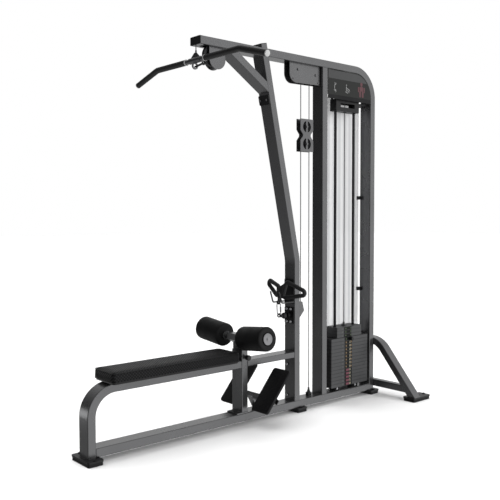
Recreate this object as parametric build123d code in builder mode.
from build123d import *
import math
import os

os.makedirs("parts", exist_ok=True)

# Dual station: a lat pulldown above a long bench and a low row in front of the mast.
# +X runs from the bench to the weight stack, Y = 0 is the mid-plane, the floor is Z = 0.

# Frame tube
tube_width = 100.0
tube_depth = 50.0
tube_wall = 3.0
tube_corner = 6.0
half_width = tube_width / 2
half_depth = tube_depth / 2

# Stations along X
leg_front = -1267.0
boom_tip = leg_front + 771.0
post_front = leg_front + 1081.0
post_back = post_front + tube_depth
mast_front = leg_front + 1548.0
mast_back = mast_front + tube_depth
tower_front = leg_front + 1816.0
tower_inner = tower_front + tube_depth
rear_front = leg_front + 2326.0
rear_back = rear_front + tube_depth
stack_x = (tower_inner + rear_front) / 2

# Heights
sole_height = 20.0
rail_bottom = 30.0
rail_top = rail_bottom + tube_depth
bench_top = 420.0
boom_bottom = 2349.0
boom_mid = boom_bottom + half_depth
mast_bend_z = 1033.0
mast_top_z = 2424.0

# Mast lean, towards the bench
lean = math.radians(12.1)
mast_axis_dir = Vector(-math.sin(lean), 0, math.cos(lean))
mast_face_dir = Vector(-math.cos(lean), 0, -math.sin(lean))

# Cable and pulleys: pitch radii to the middle of the cable
cable_radius = 3.0
front_pitch = 60.0
boom_pitch = 52.0
return_pitch = 38.0
stack_pitch = 52.0
block_pitch = 40.0
low_pitch = 38.0
pulley_half_width = 11.0
axle_radius = 5.0
running_gap = 0.05

# Cable lines and pulley centres
lat_drop_x = leg_front + 828.0
boom_cable_z = 2360.0
return_cable_z = 2327.0
row_cable_z = 662.0
block_x = leg_front + 1692.0
upper_block_z = 1935.0
lower_block_z = 1819.0
run_front_x = block_x - block_pitch
run_back_x = block_x + block_pitch
front_pulley_at = (lat_drop_x + front_pitch, boom_cable_z - front_pitch)
boom_pulley_at = (run_front_x - boom_pitch, boom_cable_z - boom_pitch)
return_pulley_at = (run_back_x + return_pitch, return_cable_z - return_pitch)
stack_pulley_at = (stack_x - stack_pitch, return_cable_z - stack_pitch)
low_pulley_at = (run_front_x - low_pitch, row_cable_z + low_pitch)

# Side plates that hold the pulleys
plate_thickness = 5.0
wide_plate_inner = 22.0
slim_plate_inner = 15.0

# Weight stack
plate_pitch = 25.0
plate_height = 24.5
resting_plates = 13
narrow_plates = 3
stack_bottom = 110.0
plate_length = 392.0
plate_depth = 120.0
narrow_length = 264.0
narrow_depth = 110.0
rod_spacing = 194.0
rod_radius = 10.0
rod_hole = 11.0
stem_radius = 12.0
stem_hole = 14.0
pin_hole = 5.5
pin_radius = 5.0
resting_top = stack_bottom + resting_plates * plate_pitch
head_bottom = resting_top + plate_pitch
head_top = head_bottom + narrow_plates * plate_pitch

# Lat bar
bar_x = leg_front + 768.0
bar_z = 2258.0
bar_radius = 14.0
bar_bend_y = 406.0
bar_end_y = 636.0
bar_end_drop = 66.0
grip_radius = 18.0
grip_from = 96.0

# Thigh rollers
roller_x = leg_front + 1060.0
roller_z = 566.0
roller_bend_y = 60.0
roller_tilt = math.radians(6.0)
roller_radius = 75.0
roller_start = 28.0
roller_length = 221.0
roller_bar_radius = 16.0
roller_bore_gap = 0.08


def save(piece, name):
    """Label a finished piece and write it to its own file."""
    piece.part.label = name
    export_step(piece.part, f"parts/{name}.step")


def tube_section(plane, width, height):
    """Hollow rounded rectangle: width along the plane's x, height along its y."""
    with BuildSketch(plane) as section:
        RectangleRounded(width, height, tube_corner)
        RectangleRounded(
            width - 2 * tube_wall,
            height - 2 * tube_wall,
            tube_corner - tube_wall,
            mode=Mode.SUBTRACT,
        )
    return section.sketch


def disc_section(plane, radius):
    """Full circle in the middle of a plane."""
    with BuildSketch(plane) as section:
        Circle(radius)
    return section.sketch


def side_plane(x, y, z):
    """Plane across Y, with its x along X and its y along Z, facing -Y."""
    return Plane(origin=(x, y, z), x_dir=(1, 0, 0), z_dir=(0, -1, 0))


def front_plane(x, z):
    """Plane across X, with its x along -Y and its y along Z, facing -X."""
    return Plane(origin=(x, 0, z), x_dir=(0, -1, 0), z_dir=(-1, 0, 0))


def mast_axis_x(z):
    """X of the mast's middle line at a height above its bend."""
    return mast_front + half_depth - (z - mast_bend_z) * math.tan(lean)


def mast_face_plane(offset):
    """Plane of the leaning mast's front face, moved forward by an offset."""
    middle = Vector(mast_axis_x(boom_mid), 0, boom_mid)
    return Plane(origin=middle + mast_face_dir * offset, x_dir=(0, 1, 0), z_dir=mast_face_dir)


def tilted_point(side, along):
    """Point on one side of the roller bar, a distance beyond its bend."""
    y = roller_bend_y + along * math.cos(roller_tilt)
    return Vector(roller_x, side * y, roller_z + along * math.sin(roller_tilt))


def tilted_plane(side, along):
    """Plane square to the roller bar, facing outwards."""
    outward = (0, side * math.cos(roller_tilt), math.sin(roller_tilt))
    return Plane(origin=tilted_point(side, along), x_dir=(1, 0, 0), z_dir=outward)


def link_route(lower, upper, half_width):
    """Oval loop between two points of the XZ plane, its straight legs at +Y and -Y."""
    start = Vector(lower[0], 0, lower[1])
    span = Vector(upper[0], 0, upper[1]) - start
    reach = span.length
    loop_plane = Plane(origin=start, x_dir=span, z_dir=span.cross(Vector(0, 1, 0)))
    with BuildLine(loop_plane) as loop:
        FilletPolyline(
            (0, -half_width),
            (reach, -half_width),
            (reach, half_width),
            (0, half_width),
            radius=half_width * 0.96,
            close=True,
        )
    return loop.wire()


# ---------------------------------------------------------------- frame tubes
leg_mid = leg_front + half_depth
bend_radius = 150.0

with BuildPart() as bench_frame:
    with BuildLine() as bench_route:
        FilletPolyline(
            (leg_mid, 0, rail_bottom),
            (leg_mid, 0, bench_top - half_depth),
            (post_front, 0, bench_top - half_depth),
            radius=bend_radius,
        )
    foot_plane = Plane(origin=(leg_mid, 0, rail_bottom), x_dir=(1, 0, 0), z_dir=(0, 0, 1))
    sweep(tube_section(foot_plane, tube_depth, tube_width), path=bench_route.wire())
save(bench_frame, "bench_frame")

# The rail carries a lug that holds the row cable's dead end.
lug_length = 34.0
lug_height = 24.0
lug_half = 13.0
with BuildPart() as base_rail:
    rail_start = leg_front + tube_depth
    rail_plane = Plane(
        origin=(rail_start, 0, rail_bottom + half_depth), x_dir=(0, 1, 0), z_dir=(1, 0, 0)
    )
    extrude(tube_section(rail_plane, tube_width, tube_depth), amount=rear_front - rail_start)
    with BuildSketch(Plane.XY.offset(rail_top)):
        with Locations((run_back_x, 0)):
            RectangleRounded(lug_length, 2 * lug_half, 4)
    extrude(amount=lug_height)
    with Locations((run_back_x, 0, rail_top + lug_height)):
        Hole(cable_radius + running_gap, depth=lug_height - 2)
save(base_rail, "base_rail")

# Upright sleeve for the height post, with its base plate and the pin's barrel.
post_top = 484.0
post_base = 8.0
post_mid = post_front + half_depth
pop_pin_z = 440.0
pop_pin_radius = 6.0
barrel_radius = 12.0
barrel_end = half_width + 20.0
with BuildPart() as roller_post:
    sleeve_plane = Plane(origin=(post_mid, 0, rail_top + post_base), x_dir=(1, 0, 0), z_dir=(0, 0, 1))
    extrude(tube_section(sleeve_plane, tube_depth, tube_width), amount=post_top - rail_top - post_base)
    with BuildSketch(Plane.XY.offset(rail_top)):
        with Locations((post_mid - 20, 0)):
            Rectangle(tube_depth + 40, tube_width)
    extrude(amount=post_base)
    with BuildSketch(side_plane(post_mid, -half_width + 1, pop_pin_z)):
        Circle(barrel_radius)
    extrude(amount=barrel_end - half_width + 1)
    with BuildSketch(side_plane(post_mid, 0, pop_pin_z)):
        Circle(pop_pin_radius + running_gap)
    extrude(amount=barrel_end, mode=Mode.SUBTRACT)
save(roller_post, "roller_post")

link_height = 40.0
link_mid_z = 396.0
with BuildPart() as link_tube:
    link_plane = Plane(origin=(post_back, 0, link_mid_z), x_dir=(0, 1, 0), z_dir=(1, 0, 0))
    extrude(tube_section(link_plane, tube_width, link_height), amount=mast_front - post_back)
save(link_tube, "link_tube")

# The mast is cut through for the two cables and for the low pulley.
with BuildPart() as mast:
    with BuildLine() as mast_route:
        FilletPolyline(
            (mast_front + half_depth, 0, rail_top),
            (mast_front + half_depth, 0, mast_bend_z),
            (mast_axis_x(mast_top_z), 0, mast_top_z),
            radius=220,
        )
    mast_plane = Plane(origin=(mast_front + half_depth, 0, rail_top), x_dir=(1, 0, 0), z_dir=(0, 0, 1))
    sweep(tube_section(mast_plane, tube_depth, tube_width), path=mast_route.wire())
    low_hole_plane = Plane(origin=(mast_front - 10, 0, row_cable_z), x_dir=(0, 1, 0), z_dir=(1, 0, 0))
    with BuildSketch(low_hole_plane):
        Circle(8)
    extrude(amount=30, mode=Mode.SUBTRACT)
    pulley_slot_plane = Plane(
        origin=(mast_back - 15, 0, low_pulley_at[1]), x_dir=(0, 1, 0), z_dir=(1, 0, 0)
    )
    with BuildSketch(pulley_slot_plane):
        Rectangle(2 * slim_plate_inner, 100)
    extrude(amount=30, mode=Mode.SUBTRACT)
    boom_hole_plane = Plane(
        origin=(mast_axis_x(boom_cable_z) - 60, 0, boom_cable_z), x_dir=(0, 1, 0), z_dir=(1, 0, 0)
    )
    with BuildSketch(boom_hole_plane):
        Circle(8)
    extrude(amount=120, mode=Mode.SUBTRACT)
save(mast, "mast")

# Boom in front of the mast, with the front pulley's side plates and the bar's parking rod.
guard_radius = 62.0
guard_ahead = 26.0
guard_below = 18.0
guard_taper = 26.0
guard_at = (front_pulley_at[0] + guard_ahead, front_pulley_at[1] - guard_below)
park_x = leg_front + 772.0
park_drop = 46.0
park_radius = 3.0
park_tip_radius = 5.5
park_tip_height = 14.0
with BuildPart() as boom_front:
    boom_plane = Plane(origin=(boom_tip, 0, boom_mid), x_dir=(0, 1, 0), z_dir=(1, 0, 0))
    extrude(tube_section(boom_plane, tube_width, tube_depth), amount=mast_front - boom_tip)
    split(bisect_by=mast_face_plane(half_depth), keep=Keep.TOP)
    for side in (-1, 1):
        plate_y = side * (wide_plate_inner + plate_thickness / 2)
        with BuildSketch(side_plane(guard_at[0], plate_y, guard_at[1])):
            Circle(guard_radius)
            with BuildLine():
                Polyline(
                    (-guard_radius, 0),
                    (guard_radius, 0),
                    (guard_radius - guard_taper, boom_bottom - guard_at[1]),
                    (-guard_radius, boom_bottom - guard_at[1]),
                    close=True,
                )
            make_face()
            with Locations((-guard_ahead, guard_below)):
                Circle(axle_radius + running_gap, mode=Mode.SUBTRACT)
        extrude(amount=plate_thickness / 2, both=True)
    with BuildSketch(Plane.XY.offset(boom_bottom - 1)):
        with Locations((front_pulley_at[0] - 6, 0)):
            RectangleRounded(2 * front_pitch + 34, 2 * wide_plate_inner - 8, 8)
    extrude(amount=tube_wall + 2, mode=Mode.SUBTRACT)
    with BuildSketch(Plane.XY.offset(boom_bottom)):
        with Locations((park_x, 0)):
            Circle(park_radius)
    extrude(amount=-park_drop)
    with BuildSketch(Plane.XY.offset(boom_bottom - park_drop + park_tip_height)):
        with Locations((park_x, 0)):
            Circle(park_tip_radius)
    extrude(amount=-park_tip_height)
save(boom_front, "boom_front")

# Boom behind the mast, bent down into the rear upright, with the stack pulley's lugs.
arch_radius = 190.0
lug_radius = 26.0
with BuildPart() as tower_arch:
    with BuildLine() as arch_route:
        FilletPolyline(
            (mast_axis_x(boom_mid), 0, boom_mid),
            (rear_front + half_depth, 0, boom_mid),
            (rear_front + half_depth, 0, rail_bottom),
            radius=arch_radius,
        )
    arch_plane = Plane(
        origin=(mast_axis_x(boom_mid), 0, boom_mid), x_dir=(0, 1, 0), z_dir=(1, 0, 0)
    )
    sweep(tube_section(arch_plane, tube_width, tube_depth), path=arch_route.wire())
    split(bisect_by=mast_face_plane(-half_depth), keep=Keep.BOTTOM)
    for side in (-1, 1):
        lug_y = side * (slim_plate_inner + plate_thickness / 2)
        with BuildSketch(side_plane(stack_pulley_at[0], lug_y, stack_pulley_at[1])):
            Circle(lug_radius)
            with Locations((0, (boom_bottom - stack_pulley_at[1]) / 2)):
                Rectangle(2 * lug_radius, boom_bottom - stack_pulley_at[1])
            Circle(axle_radius + running_gap, mode=Mode.SUBTRACT)
        extrude(amount=plate_thickness / 2, both=True)
    with BuildSketch(Plane.XY.offset(boom_bottom - 1)):
        with Locations((boom_pulley_at[0] + 4, 0)):
            RectangleRounded(2 * boom_pitch + 30, 2 * slim_plate_inner, 8)
    extrude(amount=tube_wall + 2, mode=Mode.SUBTRACT)
save(tower_arch, "tower_arch")

with BuildPart() as tower_upright:
    upright_plane = Plane(
        origin=(tower_front + half_depth, 0, rail_top), x_dir=(1, 0, 0), z_dir=(0, 0, 1)
    )
    extrude(tube_section(upright_plane, tube_depth, tube_width), amount=boom_bottom - rail_top)
    return_hole_plane = Plane(
        origin=(tower_front - 5, 0, return_cable_z), x_dir=(0, 1, 0), z_dir=(1, 0, 0)
    )
    with BuildSketch(return_hole_plane):
        Circle(8)
    extrude(amount=tube_depth + 10, mode=Mode.SUBTRACT)
save(tower_upright, "tower_upright")

# Brace between boom and mast, cut flat at both ends.
brace_slope = math.radians(32.6)
brace_start = Vector(leg_front + 973.5, 0, 2370)
brace_dir = Vector(math.cos(brace_slope), 0, -math.sin(brace_slope))
with BuildPart() as brace:
    brace_plane = Plane(origin=brace_start - brace_dir * 60, x_dir=(0, 1, 0), z_dir=brace_dir)
    extrude(tube_section(brace_plane, tube_width, tube_depth), amount=520)
    split(bisect_by=Plane.XY.offset(boom_bottom), keep=Keep.BOTTOM)
    split(bisect_by=mast_face_plane(half_depth), keep=Keep.TOP)
save(brace, "brace")

bracket_height = 62.0
bracket_thickness = 8.0
bracket_centre_z = 2084.0
bracket_origin = (
    Vector(mast_axis_x(bracket_centre_z), 0, bracket_centre_z) + mast_face_dir * half_depth
)
bracket_plane = Plane(origin=bracket_origin, x_dir=(0, 1, 0), z_dir=mast_face_dir)
with BuildPart() as brace_bracket:
    with BuildSketch(bracket_plane):
        RectangleRounded(tube_width - 4, bracket_height, 8)
    extrude(amount=bracket_thickness)
save(brace_bracket, "brace_bracket")

# ---------------------------------------------------------------- stabiliser
stab_depth = 70.0
stab_tube = 50.0
stab_radius = 165.0
stab_centre_z = 235.0
stab_slope = math.radians(49.5)
stab_mid_x = rear_back + stab_depth / 2
tie_bottom = 56.0
leg_top_y = stab_radius * math.sin(stab_slope)
leg_top_z = stab_centre_z + stab_radius * math.cos(stab_slope)
leg_foot_y = leg_top_y + (leg_top_z - rail_bottom) / math.tan(stab_slope)
corner_z = leg_top_z + leg_top_y * math.tan(stab_slope)
leg_overrun = 60.0
with BuildPart() as stabiliser:
    low_y = leg_foot_y + leg_overrun * math.cos(stab_slope)
    low_z = rail_bottom - leg_overrun * math.sin(stab_slope)
    with BuildLine() as hoop_route:
        FilletPolyline(
            (stab_mid_x, -low_y, low_z),
            (stab_mid_x, 0, corner_z),
            (stab_mid_x, low_y, low_z),
            radius=stab_radius,
        )
    hoop_plane = Plane(
        origin=(stab_mid_x, -low_y, low_z),
        x_dir=(1, 0, 0),
        z_dir=(0, math.cos(stab_slope), math.sin(stab_slope)),
    )
    sweep(tube_section(hoop_plane, stab_depth, stab_tube), path=hoop_route.wire())
    split(bisect_by=Plane.XY.offset(rail_bottom), keep=Keep.TOP)
    tie_plane = Plane(
        origin=(rear_back + stab_tube / 2, 0, tie_bottom + stab_tube / 2),
        x_dir=(1, 0, 0),
        z_dir=(0, 1, 0),
    )
    tie_mid_z = tie_bottom + stab_tube / 2
    tie_reach = leg_foot_y - (tie_mid_z - rail_bottom) / math.tan(stab_slope)
    extrude(tube_section(tie_plane, stab_tube, stab_tube), amount=tie_reach - 6, both=True)
save(stabiliser, "stabiliser")

# ---------------------------------------------------------------- feet
# Each foot: centre X, centre Y, length along X, width along Y.
stab_foot_y = 378.0
feet = [
    (leg_front + 23.0, 0, 96.0, 198.0),
    (leg_front + 1605.0, 0, 92.0, 146.0),
    (leg_front + 2366.0, 0, 98.0, 146.0),
    (leg_front + 2461.0, -stab_foot_y, 196.0, 100.0),
    (leg_front + 2461.0, stab_foot_y, 196.0, 100.0),
]
anchor_radius = 5.5
anchor_inset = 14.0
anchor_near = 22.0


def anchor_points(length, width):
    """Two anchor holes: beside the tube on a wide foot, behind the leg on a long one."""
    if width > length:
        reach = width / 2 - anchor_inset
        return [(0, -reach), (0, reach)]
    return [(anchor_near, 0), (length / 2 - anchor_inset, 0)]


with BuildPart() as floor_plates:
    for x, y, length, width in feet:
        with BuildSketch(Plane.XY.offset(sole_height)):
            with Locations((x, y)):
                RectangleRounded(length, width, 12)
                with Locations(*anchor_points(length, width)):
                    Circle(anchor_radius, mode=Mode.SUBTRACT)
        extrude(amount=rail_bottom - sole_height)
save(floor_plates, "floor_plates")

with BuildPart() as rubber_soles:
    for x, y, length, width in feet:
        with BuildSketch(Plane.XY):
            with Locations((x, y)):
                RectangleRounded(length - 6, width - 6, 10)
                with Locations(*anchor_points(length, width)):
                    Circle(anchor_radius + 1.5, mode=Mode.SUBTRACT)
        extrude(amount=sole_height)
save(rubber_soles, "rubber_soles")

# ---------------------------------------------------------------- tower trim
placard_top = boom_bottom - 2.0
placard_bottom = 2172.0
placard_y = -45.0
placard_thickness = 4.0
placard_left = tower_inner + 2.0
placard_right = rear_front - 2.0
placard_corner = arch_radius - half_depth - 2.0
with BuildPart() as placard:
    with BuildSketch(side_plane(0, placard_y, 0)):
        with BuildLine():
            Polyline(
                (placard_right - placard_corner, placard_top),
                (placard_left, placard_top),
                (placard_left, placard_bottom),
                (placard_right, placard_bottom),
                (placard_right, placard_top - placard_corner),
            )
            CenterArc(
                (placard_right - placard_corner, placard_top - placard_corner),
                placard_corner,
                0,
                90,
            )
        make_face()
    extrude(amount=placard_thickness)
save(placard, "placard")

shroud_y = plate_depth / 2 + 2.0
shroud_thickness = 4.0
shroud_bottom = rail_top + 6.0
shroud_top = boom_bottom - arch_radius + 20.0
with BuildPart() as shroud:
    with BuildSketch(side_plane((tower_inner + rear_front) / 2, shroud_y + shroud_thickness, 0)):
        with Locations((0, (shroud_bottom + shroud_top) / 2)):
            Rectangle(rear_front - tower_inner - 8, shroud_top - shroud_bottom)
    extrude(amount=shroud_thickness)
save(shroud, "shroud")

clip_heights = (300.0, 786.0, 1463.0, 2142.0)
clip_length = 22.0
clip_depth = 30.0
clip_height = 26.0
with BuildPart() as shroud_clips:
    for z in clip_heights:
        for x in (tower_inner + clip_length / 2, rear_front - clip_length / 2):
            with Locations((x, shroud_y - clip_depth / 2, z)):
                Box(clip_length, clip_depth, clip_height)
save(shroud_clips, "shroud_clips")

# ---------------------------------------------------------------- stack guides
rod_top = 2150.0
bumper_height = stack_bottom - rail_top - 0.5
bracket_half = 121.0
bracket_bottom_z = 2070.0
rod_xs = (stack_x - rod_spacing / 2, stack_x + rod_spacing / 2)
with BuildPart() as guide_rods:
    for x in rod_xs:
        with BuildSketch(Plane.XY.offset(rail_top)):
            with Locations((x, 0)):
                Circle(rod_radius)
        extrude(amount=rod_top - rail_top)
save(guide_rods, "guide_rods")

with BuildPart() as rod_bumpers:
    for x in rod_xs:
        with BuildSketch(Plane.XY.offset(rail_top)):
            with Locations((x, 0)):
                Circle(36)
                Circle(rod_radius + running_gap, mode=Mode.SUBTRACT)
        extrude(amount=bumper_height)
save(rod_bumpers, "rod_bumpers")

# Hollow box of bent plate around the tops of the rods, with a long window. An arm holds it to
# the rear upright, and two straps hang it from the boom, one on each side of the cable.
box_half_depth = 30.0
box_height = 86.0
wall_thickness = 8.0
face_thickness = 5.0
window_length = 150.0
window_height = 28.0
strap_y = 17.0
strap_width = 14.0
with BuildPart() as rod_bracket:
    box_mid_z = bracket_bottom_z + box_height / 2
    inner_half_depth = box_half_depth - face_thickness
    with BuildSketch(side_plane(stack_x, box_half_depth, box_mid_z)):
        RectangleRounded(2 * bracket_half, box_height, 6)
    extrude(amount=2 * box_half_depth)
    with BuildSketch(side_plane(stack_x, inner_half_depth, box_mid_z)):
        Rectangle(2 * (bracket_half - wall_thickness), box_height - 2 * wall_thickness)
    extrude(amount=2 * inner_half_depth, mode=Mode.SUBTRACT)
    with BuildSketch(side_plane(stack_x, box_half_depth, box_mid_z)):
        RectangleRounded(window_length, window_height, 4)
    extrude(amount=2 * box_half_depth, mode=Mode.SUBTRACT)
    arm_start = stack_x + bracket_half - 1
    with BuildSketch(Plane.XY.offset(bracket_bottom_z + 60)):
        with Locations(((arm_start + rear_front) / 2, 0)):
            Rectangle(rear_front - arm_start, 40)
    extrude(amount=12)
    strap_x = stack_x - bracket_half + wall_thickness / 2
    strap_bottom = bracket_bottom_z + box_height - 1
    with BuildSketch(Plane.XY.offset(strap_bottom)):
        with Locations((strap_x, -strap_y), (strap_x, strap_y)):
            Rectangle(wall_thickness, strap_width)
    extrude(amount=boom_bottom - strap_bottom)
    with BuildSketch(Plane.XY.offset(bracket_bottom_z - 1)):
        with Locations(*[(x, 0) for x in rod_xs]):
            Circle(rod_radius + running_gap)
    extrude(amount=box_height + 2, mode=Mode.SUBTRACT)
    with BuildSketch(Plane.XY.offset(bracket_bottom_z - 1)):
        with Locations((stack_x, 0)):
            Circle(14)
    extrude(amount=box_height + 2, mode=Mode.SUBTRACT)
save(rod_bracket, "rod_bracket")

# ---------------------------------------------------------------- weight stack


def plate_sketch(z, length, depth, centre_hole):
    """Outline of one plate with its two rod holes and its stem hole."""
    with BuildSketch(Plane.XY.offset(z)) as outline:
        with Locations((stack_x, 0)):
            RectangleRounded(length, depth, 5)
            Circle(centre_hole, mode=Mode.SUBTRACT)
        with Locations(*[(x, 0) for x in rod_xs]):
            Circle(rod_hole, mode=Mode.SUBTRACT)
    return outline.sketch


with BuildPart() as weight_plates:
    for index in range(resting_plates):
        bottom = stack_bottom + index * plate_pitch
        extrude(plate_sketch(bottom, plate_length, plate_depth, stem_hole), amount=plate_height)
    for index in range(resting_plates):
        middle = stack_bottom + index * plate_pitch + plate_height / 2
        with BuildSketch(side_plane(stack_x, 0, middle)):
            Circle(pin_hole)
        extrude(amount=plate_depth, mode=Mode.SUBTRACT)
save(weight_plates, "weight_plates")

stem_fit = stem_radius + running_gap
pin_z = resting_top + plate_height / 2
with BuildPart() as selected_plate:
    extrude(plate_sketch(resting_top, plate_length, plate_depth, stem_fit), amount=plate_height)
    with BuildSketch(side_plane(stack_x, 0, pin_z)):
        Circle(pin_hole)
    extrude(amount=plate_depth, mode=Mode.SUBTRACT)
save(selected_plate, "selected_plate")

with BuildPart() as head_plates:
    for index in range(narrow_plates):
        bottom = head_bottom + index * plate_pitch
        extrude(plate_sketch(bottom, narrow_length, narrow_depth, stem_fit), amount=plate_height)
save(head_plates, "head_plates")

stem_bottom = stack_bottom + 8.0
stem_top = head_top + 26.0
with BuildPart() as selector_stem:
    with BuildSketch(Plane.XY.offset(stem_bottom)):
        with Locations((stack_x, 0)):
            Circle(stem_radius)
    extrude(amount=head_top - stem_bottom)
    with BuildSketch(Plane.XY.offset(head_top - 0.5)):
        with Locations((stack_x, 0)):
            RegularPolygon(19, 6)
    extrude(amount=12)
    with BuildSketch(Plane.XY.offset(head_top + 11)):
        with Locations((stack_x, 0)):
            Circle(8)
    extrude(amount=stem_top - head_top - 11)
    for index in range(resting_plates + 1):
        middle = stack_bottom + index * plate_pitch + plate_height / 2
        with BuildSketch(side_plane(stack_x, 2 * stem_radius, middle)):
            Circle(pin_hole)
        extrude(amount=4 * stem_radius, mode=Mode.SUBTRACT)
save(selector_stem, "selector_stem")

knob_start = plate_depth / 2 + 3.0
with BuildPart() as selector_pin:
    with BuildSketch(side_plane(stack_x, 8, pin_z)):
        Circle(pin_radius)
    extrude(amount=knob_start + 10)
    with BuildSketch(side_plane(stack_x, -knob_start, pin_z)):
        Circle(13)
    extrude(amount=26)
    fillet(selector_pin.edges().filter_by(GeomType.CIRCLE).sort_by(Axis.Y)[0], radius=4)
save(selector_pin, "selector_pin")

# ---------------------------------------------------------------- pulleys
web_half = 5.0
hub_radius = 16.0
groove_gap = 0.4
rim_height = 4.0


def pulley_profile(centre, pitch, hub_half):
    """Half-section of a grooved wheel on a Y axle."""
    floor = pitch - cable_radius - groove_gap
    rim = pitch + rim_height
    rim_inner = pitch - 12.0
    flange = pulley_half_width
    bore = axle_radius + running_gap
    with BuildSketch(Plane(origin=(centre[0], 0, centre[1]))) as profile:
        with BuildLine():
            Polyline(
                (bore, -hub_half),
                (hub_radius, -hub_half),
                (hub_radius, -web_half),
                (rim_inner, -web_half),
                (rim_inner, -flange),
                (rim, -flange),
                (rim, -flange + 3),
                (floor, -cable_radius - groove_gap),
                (floor, cable_radius + groove_gap),
                (rim, flange - 3),
                (rim, flange),
                (rim_inner, flange),
                (rim_inner, web_half),
                (hub_radius, web_half),
                (hub_radius, hub_half),
                (bore, hub_half),
                close=True,
            )
        make_face()
    return profile.sketch


wide_hub = wide_plate_inner - 0.5
slim_hub = slim_plate_inner - 0.5
pulleys = {
    "front_pulley": (front_pulley_at, front_pitch, wide_hub),
    "boom_pulley": (boom_pulley_at, boom_pitch, wide_hub),
    "return_pulley": (return_pulley_at, return_pitch, wide_hub),
    "stack_pulley": (stack_pulley_at, stack_pitch, slim_hub),
    "low_pulley": (low_pulley_at, low_pitch, slim_hub),
    "upper_block_pulley": ((block_x, upper_block_z), block_pitch, slim_hub),
    "lower_block_pulley": ((block_x, lower_block_z), block_pitch, slim_hub),
}
for pulley_name, (centre, pitch, hub_half) in pulleys.items():
    with BuildPart() as pulley:
        revolve(
            pulley_profile(centre, pitch, hub_half),
            axis=Axis((centre[0], 0, centre[1]), (0, 1, 0)),
        )
    save(pulley, pulley_name)

# Axle bolts of the pulleys that stay on the frame.
head_radius = 9.0
head_height = 6.0
axles = [
    (front_pulley_at, wide_plate_inner),
    (boom_pulley_at, wide_plate_inner),
    (return_pulley_at, wide_plate_inner),
    (stack_pulley_at, slim_plate_inner),
    (low_pulley_at, slim_plate_inner),
]
with BuildPart() as pulley_axles:
    for centre, inner in axles:
        outer = inner + plate_thickness
        with BuildSketch(side_plane(centre[0], outer, centre[1])):
            Circle(axle_radius)
        extrude(amount=2 * outer)
        for face_y, direction in ((outer, -1), (-outer, 1)):
            with BuildSketch(side_plane(centre[0], face_y, centre[1])):
                RegularPolygon(head_radius, 6)
            extrude(amount=direction * head_height)
save(pulley_axles, "pulley_axles")

# Two side plates under the boom hold the boom pulley and the return pulley.
housing_front = leg_front + 1522.0
housing_back = tower_front - 8.0
housing_bottom = 2220.0
housing_mid = (housing_front + housing_back) / 2
with BuildPart() as boom_housing:
    for side in (-1, 1):
        plate_y = side * (wide_plate_inner + plate_thickness / 2)
        with BuildSketch(side_plane(0, plate_y, 0)):
            with BuildLine():
                Polyline(
                    (housing_front + 60, housing_bottom),
                    (housing_back, housing_bottom + 4),
                    (housing_back, boom_bottom),
                    (housing_front, boom_bottom),
                    (housing_front, housing_bottom + 60),
                )
                ThreePointArc(
                    (housing_front, housing_bottom + 60),
                    (housing_front + 17.6, housing_bottom + 17.6),
                    (housing_front + 60, housing_bottom),
                )
            make_face()
            with Locations(boom_pulley_at, return_pulley_at):
                Circle(axle_radius + running_gap, mode=Mode.SUBTRACT)
        extrude(amount=plate_thickness / 2, both=True)
save(boom_housing, "boom_housing")

with BuildPart() as low_housing:
    for side in (-1, 1):
        plate_y = side * (slim_plate_inner + plate_thickness / 2)
        with BuildSketch(side_plane(mast_back, plate_y, 0)):
            with BuildLine():
                Polyline(
                    (0, 625),
                    (14, 625),
                    (70, 683),
                    (52, 746),
                    (0, 750),
                    close=True,
                )
            make_face()
            with Locations((low_pulley_at[0] - mast_back, low_pulley_at[1])):
                Circle(axle_radius + running_gap, mode=Mode.SUBTRACT)
        extrude(amount=plate_thickness / 2, both=True)
save(low_housing, "low_housing")

# Floating block: two waisted plates with round windows, on two axle bolts.
block_half = 61.0
block_waist = 37.0
block_end = 52.0
block_shoulder = 36.0
block_notch = 7.0
window_radius = 38.0
window_spoke = 16.0
block_mid_z = (upper_block_z + lower_block_z) / 2
block_reach = (upper_block_z - lower_block_z) / 2
with BuildPart() as block_plates:
    for side in (-1, 1):
        plate_y = side * (slim_plate_inner + plate_thickness / 2)
        with BuildSketch(side_plane(block_x, plate_y, block_mid_z)):
            with BuildLine():
                Polyline(
                    (block_half, block_reach + block_end),
                    (block_half, block_shoulder),
                    (block_waist, block_notch),
                    (block_waist, -block_notch),
                    (block_half, -block_shoulder),
                    (block_half, -block_reach - block_end),
                    (-block_half, -block_reach - block_end),
                    (-block_half, -block_shoulder),
                    (-block_waist, -block_notch),
                    (-block_waist, block_notch),
                    (-block_half, block_shoulder),
                    (-block_half, block_reach + block_end),
                    close=True,
                )
            make_face()
            with Locations((0, -block_reach), (0, block_reach)):
                Circle(window_radius, mode=Mode.SUBTRACT)
                Rectangle(window_spoke, 2 * window_radius + 4)
        extrude(amount=plate_thickness / 2, both=True)
    for z in (lower_block_z, upper_block_z):
        outer = slim_plate_inner + plate_thickness
        with BuildSketch(side_plane(block_x, outer, z)):
            Circle(axle_radius)
        extrude(amount=2 * outer)
        for face_y, direction in ((outer, -1), (-outer, 1)):
            with BuildSketch(side_plane(block_x, face_y, z)):
                RegularPolygon(head_radius, 6)
            extrude(amount=direction * head_height)
save(block_plates, "block_plates")

# ---------------------------------------------------------------- cables
with BuildLine(Plane.XZ) as lat_line:
    CenterArc(front_pulley_at, front_pitch, 180, -90)
    Line((front_pulley_at[0], boom_cable_z), (boom_pulley_at[0], boom_cable_z))
    CenterArc(boom_pulley_at, boom_pitch, 90, -90)

with BuildLine(Plane.XZ) as return_line:
    CenterArc(return_pulley_at, return_pitch, 180, -90)
    Line((return_pulley_at[0], return_cable_z), (stack_pulley_at[0], return_cable_z))
    CenterArc(stack_pulley_at, stack_pitch, 90, -90)

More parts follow.
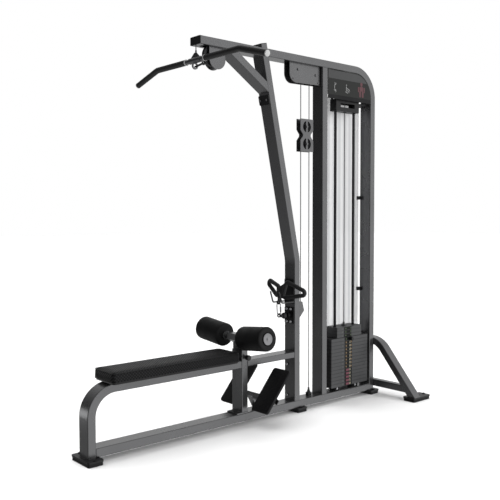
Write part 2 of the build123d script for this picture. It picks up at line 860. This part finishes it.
with BuildLine(Plane.XZ) as low_line:
    CenterArc(low_pulley_at, low_pitch, 270, 90)

with BuildPart() as frame_cables:
    for route in (lat_line.wire(), return_line.wire(), low_line.wire()):
        start_plane = Plane(origin=route @ 0, z_dir=route % 0)
        sweep(disc_section(start_plane, cable_radius), path=route)
save(frame_cables, "frame_cables")

with BuildLine(Plane.XZ) as lat_wrap:
    CenterArc((block_x, upper_block_z), block_pitch, 180, 180)

with BuildLine(Plane.XZ) as row_wrap:
    CenterArc((block_x, lower_block_z), block_pitch, 180, -180)

with BuildPart() as block_cables:
    for route in (lat_wrap.wire(), row_wrap.wire()):
        start_plane = Plane(origin=route @ 0, z_dir=route % 0)
        sweep(disc_section(start_plane, cable_radius), path=route)
save(block_cables, "block_cables")

with BuildPart() as block_runs:
    for x, low_z, high_z in (
        (run_front_x, upper_block_z, boom_pulley_at[1]),
        (run_back_x, upper_block_z, return_pulley_at[1]),
        (run_front_x, low_pulley_at[1], lower_block_z),
        (run_back_x, rail_top + 2, lower_block_z),
    ):
        extrude(
            disc_section(Plane(origin=(x, 0, low_z), z_dir=(0, 0, 1)), cable_radius),
            amount=high_z - low_z,
        )
save(block_runs, "block_runs")

with BuildPart() as stack_cable:
    extrude(
        disc_section(Plane(origin=(stack_x, 0, stem_top), z_dir=(0, 0, 1)), cable_radius),
        amount=stack_pulley_at[1] - stem_top,
    )
save(stack_cable, "stack_cable")

# ---------------------------------------------------------------- lat bar and its cable end
sleeve_top = 2286.0
sleeve_bottom = 2264.0
sleeve_radius = 4.5
eye_z = 2250.0
with BuildPart() as lat_cable_drop:
    extrude(
        disc_section(Plane(origin=(lat_drop_x, 0, sleeve_top), z_dir=(0, 0, 1)), cable_radius),
        amount=front_pulley_at[1] - sleeve_top,
    )
save(lat_cable_drop, "lat_cable_drop")

with BuildPart() as lat_cable_end:
    with BuildSketch(Plane.XY.offset(sleeve_bottom - 4)):
        with Locations((lat_drop_x, 0)):
            Circle(sleeve_radius)
    extrude(amount=sleeve_top - sleeve_bottom + 4)
    with BuildSketch(side_plane(lat_drop_x, 3, eye_z)):
        Circle(13)
        Circle(7, mode=Mode.SUBTRACT)
    extrude(amount=6)
save(lat_cable_end, "lat_cable_end")

ring_at = (bar_x - 4.0, bar_z - 34.0)
ring_radius = 21.0
ring_hole = 12.0
yoke_half = 55.0
yoke_thickness = 8.0
yoke_apex_half = 8.0
yoke_apex_z = 44.0
with BuildPart() as bar_yoke:
    with BuildSketch(side_plane(bar_x, yoke_half, bar_z)):
        Circle(grip_radius)
    extrude(amount=2 * yoke_half)
    yoke_face = Plane(
        origin=(bar_x - yoke_thickness / 2, 0, bar_z), x_dir=(0, 1, 0), z_dir=(1, 0, 0)
    )
    with BuildSketch(yoke_face):
        with BuildLine():
            Polyline(
                (3 - yoke_half, 8),
                (yoke_half - 3, 8),
                (yoke_apex_half, yoke_apex_z),
                (-yoke_apex_half, yoke_apex_z),
                close=True,
            )
        make_face()
    extrude(amount=yoke_thickness)
    with BuildSketch(side_plane(ring_at[0], yoke_thickness / 2, ring_at[1])):
        Circle(ring_radius)
        with Locations((2, 18)):
            Rectangle(20, 28)
    extrude(amount=yoke_thickness)
    with BuildSketch(side_plane(ring_at[0], yoke_thickness, ring_at[1])):
        Circle(ring_hole)
    extrude(amount=2 * yoke_thickness, mode=Mode.SUBTRACT)
    with BuildSketch(side_plane(bar_x, yoke_half + 1, bar_z)):
        Circle(bar_radius + running_gap)
    extrude(amount=2 * yoke_half + 2, mode=Mode.SUBTRACT)
save(bar_yoke, "bar_yoke")

link_half = 17.0
link_wire = 4.5
with BuildPart() as bar_carabiner:
    lat_link = link_route((ring_at[0] + 5.0, ring_at[1] - 4.0), (lat_drop_x, eye_z), link_half)
    lat_link_start = Plane(origin=lat_link @ 0, z_dir=lat_link % 0)
    sweep(disc_section(lat_link_start, link_wire), path=lat_link)
save(bar_carabiner, "bar_carabiner")

with BuildPart() as lat_bar:
    with BuildLine() as bar_route:
        FilletPolyline(
            (bar_x, -bar_end_y, bar_z - bar_end_drop),
            (bar_x, -bar_bend_y, bar_z),
            (bar_x, bar_bend_y, bar_z),
            (bar_x, bar_end_y, bar_z - bar_end_drop),
            radius=90,
        )
    bar_wire = bar_route.wire()
    sweep(disc_section(Plane(origin=bar_wire @ 0, z_dir=bar_wire % 0), bar_radius), path=bar_wire)
save(lat_bar, "lat_bar")

# Thick grips follow the bar from near the middle to its ends.
with BuildPart() as lat_bar_grips:
    for side in (-1, 1):
        with BuildLine() as grip_route:
            FilletPolyline(
                (bar_x, side * grip_from, bar_z),
                (bar_x, side * bar_bend_y, bar_z),
                (bar_x, side * (bar_end_y - 6), bar_z - bar_end_drop * 0.974),
                radius=90,
            )
        grip_wire = grip_route.wire()
        grip_plane = Plane(origin=grip_wire @ 0, z_dir=grip_wire % 0)
        with BuildSketch(grip_plane):
            Circle(grip_radius)
            Circle(bar_radius + running_gap, mode=Mode.SUBTRACT)
        sweep(path=grip_wire)
save(lat_bar_grips, "lat_bar_grips")

# ---------------------------------------------------------------- row handle and its cable end
ball_x = leg_front + 1496.0
ball_radius = 21.0
shank_radius = 10.0
row_eye = (leg_front + 1450.0, 668.0)
handle_eye = (leg_front + 1446.0, 756.0)
port_thickness = 5.0
with BuildPart() as cable_port:
    port_plane = front_plane(mast_front, row_cable_z)
    with BuildSketch(port_plane):
        RectangleRounded(88, 110, 8)
    extrude(amount=port_thickness)
    with BuildSketch(port_plane):
        Circle(22)
    extrude(amount=30)
    with BuildSketch(port_plane):
        Circle(8)
    extrude(amount=32, mode=Mode.SUBTRACT)
    with Locations((ball_x, 0, row_cable_z)):
        Sphere(ball_radius + 0.6, mode=Mode.SUBTRACT)
save(cable_port, "cable_port")

with BuildPart() as row_stop:
    with Locations((ball_x, 0, row_cable_z)):
        Sphere(ball_radius)
    with BuildSketch(front_plane(ball_x, row_cable_z)):
        Circle(shank_radius)
    extrude(amount=ball_x - row_eye[0] - 12)
    with BuildSketch(side_plane(row_eye[0], 3, row_eye[1])):
        Circle(15)
        Circle(8, mode=Mode.SUBTRACT)
    extrude(amount=6)
save(row_stop, "row_stop")

with BuildPart() as row_cable_pull:
    pull_length = low_pulley_at[0] - ball_x - ball_radius
    pull_plane = Plane(
        origin=(ball_x + ball_radius, 0, row_cable_z), x_dir=(0, 1, 0), z_dir=(1, 0, 0)
    )
    extrude(disc_section(pull_plane, cable_radius), amount=pull_length)
save(row_cable_pull, "row_cable_pull")

with BuildPart() as row_carabiner:
    row_link = link_route((row_eye[0], row_eye[1] + 3.5), (handle_eye[0], handle_eye[1] - 3.5), 17)
    row_link_start = Plane(origin=row_link @ 0, z_dir=row_link % 0)
    sweep(disc_section(row_link_start, 3.5), path=row_link)
save(row_carabiner, "row_carabiner")

# Two swept-back loops on a flat hub, hung slightly askew.
loop_radius = 14.0
loop_corner = 18.0
loops = [
    ((leg_front + 1458, 12, 862), (leg_front + 1508, 234, 925), (leg_front + 1456, 12, 786)),
    ((leg_front + 1461, -62, 898), (leg_front + 1508, -236, 822), (leg_front + 1456, -24, 784)),
]
web_outline = [(-14, 784), (26, 784), (64, 894), (-8, 856)]
web_thickness = 8.0
with BuildPart() as row_handle:
    for top, tip, base in loops:
        with BuildLine() as loop_route:
            FilletPolyline(base, top, tip, radius=loop_corner, close=True)
        loop_wire = loop_route.wire()
        loop_plane = Plane(origin=loop_wire @ 0, z_dir=loop_wire % 0)
        sweep(disc_section(loop_plane, loop_radius), path=loop_wire)
    with BuildSketch(front_plane(loops[0][2][0] + web_thickness / 2, 0)):
        with BuildLine():
            Polyline(*web_outline, close=True)
        make_face()
    extrude(amount=web_thickness)
    with BuildSketch(side_plane(handle_eye[0], 4, handle_eye[1])):
        Circle(15)
        with Locations((4, 26)):
            Rectangle(20, 60)
        Circle(8, mode=Mode.SUBTRACT)
    extrude(amount=8)
save(row_handle, "row_handle")

# Backing plate on the mast's front with two wire hooks that cradle the parked handle.
tray_half = 46.0
tray_bottom = 742.0
tray_top = 905.0
tray_thickness = 5.0
hook_y = 43.0
hook_radius = 3.5
hook_z = 754.0
hook_reach = 114.0
hook_tip = (mast_front - 118.0, 768.0)
with BuildPart() as handle_tray:
    with BuildSketch(front_plane(mast_front, (tray_bottom + tray_top) / 2)):
        RectangleRounded(2 * tray_half, tray_top - tray_bottom, 6)
    extrude(amount=tray_thickness)
    for side in (-1, 1):
        with BuildLine() as hook_route:
            FilletPolyline(
                (mast_front - 1, side * hook_y, hook_z),
                (mast_front - hook_reach, side * hook_y, hook_z),
                (hook_tip[0], side * hook_y, hook_tip[1]),
                radius=8,
            )
        hook_wire = hook_route.wire()
        hook_plane = Plane(origin=hook_wire @ 0, z_dir=hook_wire % 0)
        sweep(disc_section(hook_plane, hook_radius), path=hook_wire)
save(handle_tray, "handle_tray")

# ---------------------------------------------------------------- thigh rollers
inner_post_bottom = 190.0
inner_post_top = 540.0
inner_gap = 1.0
cap_radius = 36.0
hole_step = 25.0
with BuildPart() as roller_carriage:
    inner_plane = Plane(origin=(post_mid, 0, inner_post_bottom), x_dir=(1, 0, 0), z_dir=(0, 0, 1))
    inner_depth = tube_depth - 2 * tube_wall - 2 * inner_gap
    inner_width = tube_width - 2 * tube_wall - 2 * inner_gap
    extrude(
        tube_section(inner_plane, inner_depth, inner_width),
        amount=inner_post_top - inner_post_bottom,
    )
    for index in range(7):
        with BuildSketch(side_plane(post_mid, 0, pop_pin_z - index * hole_step)):
            Circle(pop_pin_radius + 0.5)
        extrude(amount=half_width, mode=Mode.SUBTRACT)
    with BuildSketch(side_plane(roller_x, 45, roller_z)):
        with BuildLine():
            Polyline(
                (-24, -14),
                (25, -40),
                (67, -40),
                (67, -18),
                (30, 26),
                (-24, 26),
                close=True,
            )
        make_face()
    extrude(amount=90)
    bar_reach = roller_start + roller_length + 8
    with BuildLine() as roller_route:
        FilletPolyline(
            tilted_point(-1, bar_reach),
            tilted_point(-1, 0),
            tilted_point(1, 0),
            tilted_point(1, bar_reach),
            radius=60,
        )
    roller_wire = roller_route.wire()
    sweep(
        disc_section(Plane(origin=roller_wire @ 0, z_dir=roller_wire % 0), roller_bar_radius),
        path=roller_wire,
    )
    for side in (-1, 1):
        extrude(
            disc_section(tilted_plane(side, roller_start + roller_length + 1), cap_radius),
            amount=7,
        )
        extrude(disc_section(tilted_plane(side, roller_start - 9), 28), amount=8)
save(roller_carriage, "roller_carriage")

for side, roller_name in ((-1, "near_roller"), (1, "far_roller")):
    with BuildPart() as roller:
        with BuildSketch(tilted_plane(side, roller_start)):
            Circle(roller_radius)
            Circle(roller_bar_radius + roller_bore_gap, mode=Mode.SUBTRACT)
        extrude(amount=roller_length)
        rim = roller.edges().filter_by(GeomType.CIRCLE).sort_by(SortBy.RADIUS)[-2:]
        fillet(rim, radius=14)
    save(roller, roller_name)

with BuildPart() as pop_pin:
    tip_y = -half_width + tube_wall + inner_gap - 0.5
    with BuildSketch(side_plane(post_mid, tip_y, pop_pin_z)):
        Circle(pop_pin_radius)
    extrude(amount=40)
    with BuildSketch(side_plane(post_mid, -barrel_end - 1, pop_pin_z)):
        Circle(17)
    extrude(amount=24)
    fillet(pop_pin.edges().filter_by(GeomType.CIRCLE).sort_by(Axis.Y)[0], radius=6)
save(pop_pin, "pop_pin")

# ---------------------------------------------------------------- foot rest
rest_slope = math.radians(50)
rest_centre = Vector(leg_front + 1240.0, 0, 218)
rest_length = 314.0
rest_width = 150.0
rest_thickness = 18.0
rest_y = 157.0
rest_along = Vector(math.cos(rest_slope), 0, math.sin(rest_slope))
rest_back = Vector(math.sin(rest_slope), 0, -math.cos(rest_slope))
rest_plane = Plane(origin=rest_centre, x_dir=(0, 1, 0), z_dir=rest_back)
with BuildPart() as foot_plates:
    with BuildSketch(rest_plane):
        with Locations((-rest_y, 0), (rest_y, 0)):
            RectangleRounded(rest_width, rest_length, 18)
    extrude(amount=-rest_thickness)
    fillet(foot_plates.faces().sort_by(Axis.Z)[-2:].edges(), radius=4)
save(foot_plates, "foot_plates")

# One cross tube under the lower half of the plates, on a post that leans forward from the rail.
rest_tube = 36.0
cross_drop = 53.0
rest_post_half = 25.0
with BuildPart() as footrest_frame:
    cross_origin = rest_centre + rest_back * (rest_tube / 2) - rest_along * cross_drop
    cross_plane = Plane(origin=cross_origin, x_dir=rest_along, z_dir=(0, 1, 0))
    extrude(
        tube_section(cross_plane, rest_tube, rest_tube),
        amount=rest_y + rest_width / 2 - 12,
        both=True,
    )
    with BuildSketch(side_plane(leg_front, rest_post_half, 0)):
        with BuildLine():
            Polyline(
                (1186, 168),
                (1235, rail_top),
                (1292, rail_top),
                (1238, 178),
                close=True,
            )
        make_face()
    extrude(amount=2 * rest_post_half)
save(footrest_frame, "footrest_frame")

# ---------------------------------------------------------------- bench pad
pad_front = leg_front + 123.0
pad_back = leg_front + 1022.0
pad_width = 218.0
pad_corner = 20.0
pad_edge = 9.0
pad_bottom = bench_top + 2.0
pad_top = 490.0
board_half = 60.0
with BuildPart() as bench_pad:
    with BuildSketch(Plane.XY.offset(pad_bottom)):
        with Locations(((pad_front + pad_back) / 2, 0)):
            RectangleRounded(pad_back - pad_front, pad_width, pad_corner)
    extrude(amount=pad_top - pad_bottom)
    fillet(bench_pad.faces().sort_by(Axis.Z)[-1].edges(), radius=pad_edge)
    with BuildSketch(Plane.XY.offset(bench_top)):
        with Locations(((pad_front + pad_back) / 2 + 60, 0)):
            Rectangle(pad_back - pad_front - 160, 2 * board_half - 24)
    extrude(amount=3)
save(bench_pad, "bench_pad")

# ---------------------------------------------------------------- caps and bolts
cap_thickness = 4.0
with BuildPart() as tube_caps:
    with BuildSketch(front_plane(boom_tip, boom_mid)):
        RectangleRounded(tube_width, tube_depth, tube_corner)
    extrude(amount=cap_thickness)
    mast_end = Plane(
        origin=(mast_axis_x(mast_top_z), 0, mast_top_z), x_dir=(0, 1, 0), z_dir=mast_axis_dir
    )
    with BuildSketch(mast_end):
        RectangleRounded(tube_width, tube_depth, tube_corner)
    extrude(amount=cap_thickness)
save(tube_caps, "tube_caps")

bolt_radius = 8.0
bolt_height = 6.0
mast_bolts = [(-22, 325), (-22, 112)]
port_bolts = [(-18, -42), (18, -42), (-18, 42), (18, 42)]
bracket_bolts = [(-30, 0), (30, 0)]
with BuildPart() as frame_bolts:
    with BuildSketch(front_plane(mast_front, 0)):
        with Locations(*mast_bolts):
            RegularPolygon(bolt_radius, 6)
    extrude(amount=bolt_height)
    with BuildSketch(front_plane(mast_front - port_thickness, row_cable_z)):
        with Locations(*port_bolts):
            RegularPolygon(bolt_radius, 6)
    extrude(amount=bolt_height)
    with BuildSketch(bracket_plane.offset(bracket_thickness)):
        with Locations(*bracket_bolts):
            RegularPolygon(bolt_radius, 6)
    extrude(amount=bolt_height)
save(frame_bolts, "frame_bolts")
